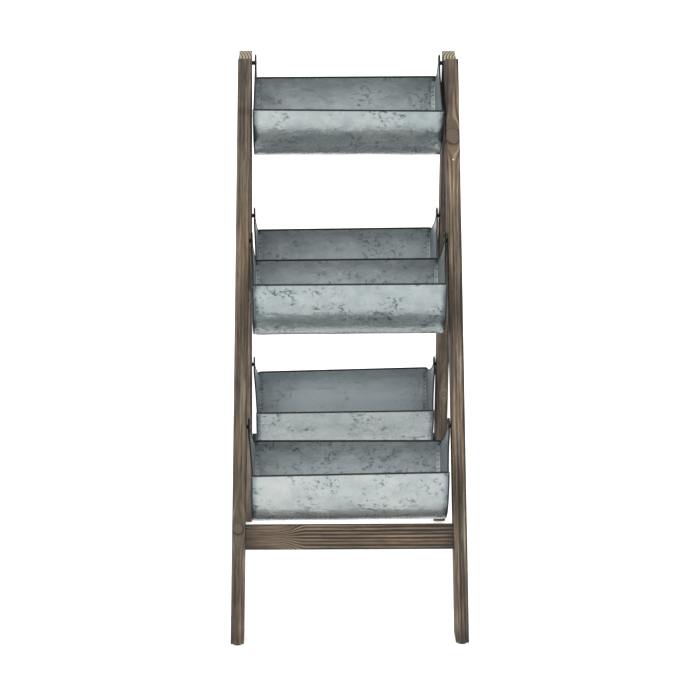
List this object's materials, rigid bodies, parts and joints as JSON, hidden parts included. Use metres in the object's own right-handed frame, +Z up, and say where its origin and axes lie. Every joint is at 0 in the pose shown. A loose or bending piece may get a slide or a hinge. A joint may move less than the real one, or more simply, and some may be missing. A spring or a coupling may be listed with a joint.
{
  "type": "tiered plant stand",
  "caption": "A-frame timber plant stand with round-bottomed galvanised troughs that swing on screws between its legs.",
  "frame": {"origin": "on the floor, in the middle between the four feet", "axes": "+Z up, +X to the right of someone facing the front crossbar, +Y from the front legs to the rear legs"},
  "size_m": [0.435, 0.688, 1.033],
  "materials": {
    "timber": "grey-brown stained softwood, open grain, dull",
    "galvanised": "hot-dip galvanised sheet with spangle, satin",
    "zinc_plated": "zinc-plated screws, satin",
    "black_steel": "black painted steel strap, satin",
    "black_plastic": "matt black plastic"
  },
  "bodies": {
    "frame": {"leg_front_left": "timber", "leg_front_right": "timber", "leg_rear_left": "timber", "leg_rear_right": "timber", "crossbar_front": "timber", "crossbar_rear": "timber", "apex_bracket_left": "black_steel", "apex_bracket_right": "black_steel", "glide_front_left": "black_plastic", "glide_front_right": "black_plastic", "glide_rear_left": "black_plastic", "glide_rear_right": "black_plastic", "top_screw_left": "zinc_plated", "top_spacer_left": "black_plastic", "top_screw_right": "zinc_plated", "top_spacer_right": "black_plastic", "middle_front_screw_left": "zinc_plated", "middle_front_spacer_left": "black_plastic", "middle_front_screw_right": "zinc_plated", "middle_front_spacer_right": "black_plastic", "middle_rear_screw_left": "zinc_plated", "middle_rear_spacer_left": "black_plastic", "middle_rear_screw_right": "zinc_plated", "middle_rear_spacer_right": "black_plastic", "lower_front_screw_left": "zinc_plated", "lower_front_spacer_left": "black_plastic", "lower_front_screw_right": "zinc_plated", "lower_front_spacer_right": "black_plastic", "lower_rear_screw_left": "zinc_plated", "lower_rear_spacer_left": "black_plastic", "lower_rear_screw_right": "zinc_plated", "lower_rear_spacer_right": "black_plastic"},
    "top_trough": {"top_trough_sheet": "galvanised", "top_trough_end_left": "galvanised", "top_trough_end_right": "galvanised"},
    "middle_front_trough": {"middle_front_trough_sheet": "galvanised", "middle_front_trough_end_left": "galvanised", "middle_front_trough_end_right": "galvanised"},
    "middle_rear_trough": {"middle_rear_trough_sheet": "galvanised", "middle_rear_trough_end_left": "galvanised", "middle_rear_trough_end_right": "galvanised"},
    "lower_front_trough": {"lower_front_trough_sheet": "galvanised", "lower_front_trough_end_left": "galvanised", "lower_front_trough_end_right": "galvanised"},
    "lower_rear_trough": {"lower_rear_trough_sheet": "galvanised", "lower_rear_trough_end_left": "galvanised", "lower_rear_trough_end_right": "galvanised"}
  },
  "joints": [
    {"name": "top_trough_swing", "type": "hinge", "parent": "frame", "child": "top_trough", "pos_m": [0, 0.018, 1.0136], "axis": [1, 0, 0], "range_deg": [-38.2, 21.8]},
    {"name": "middle_front_trough_swing", "type": "hinge", "parent": "frame", "child": "middle_front_trough", "pos_m": [0, -0.11444, 0.7044], "axis": [1, 0, 0], "range_deg": [-28.9, 3.3]},
    {"name": "middle_rear_trough_swing", "type": "hinge", "parent": "frame", "child": "middle_rear_trough", "pos_m": [0, 0.11444, 0.7044], "axis": [1, 0, 0], "range_deg": [-6.1, 26.1]},
    {"name": "lower_front_trough_swing", "type": "hinge", "parent": "frame", "child": "lower_front_trough", "pos_m": [0, -0.2099, 0.3759], "axis": [1, 0, 0], "range_deg": [-27.8, 32.2]},
    {"name": "lower_rear_trough_swing", "type": "hinge", "parent": "frame", "child": "lower_rear_trough", "pos_m": [0, 0.2099, 0.3759], "axis": [1, 0, 0], "range_deg": [-36.6, 23.4]}
  ]
}
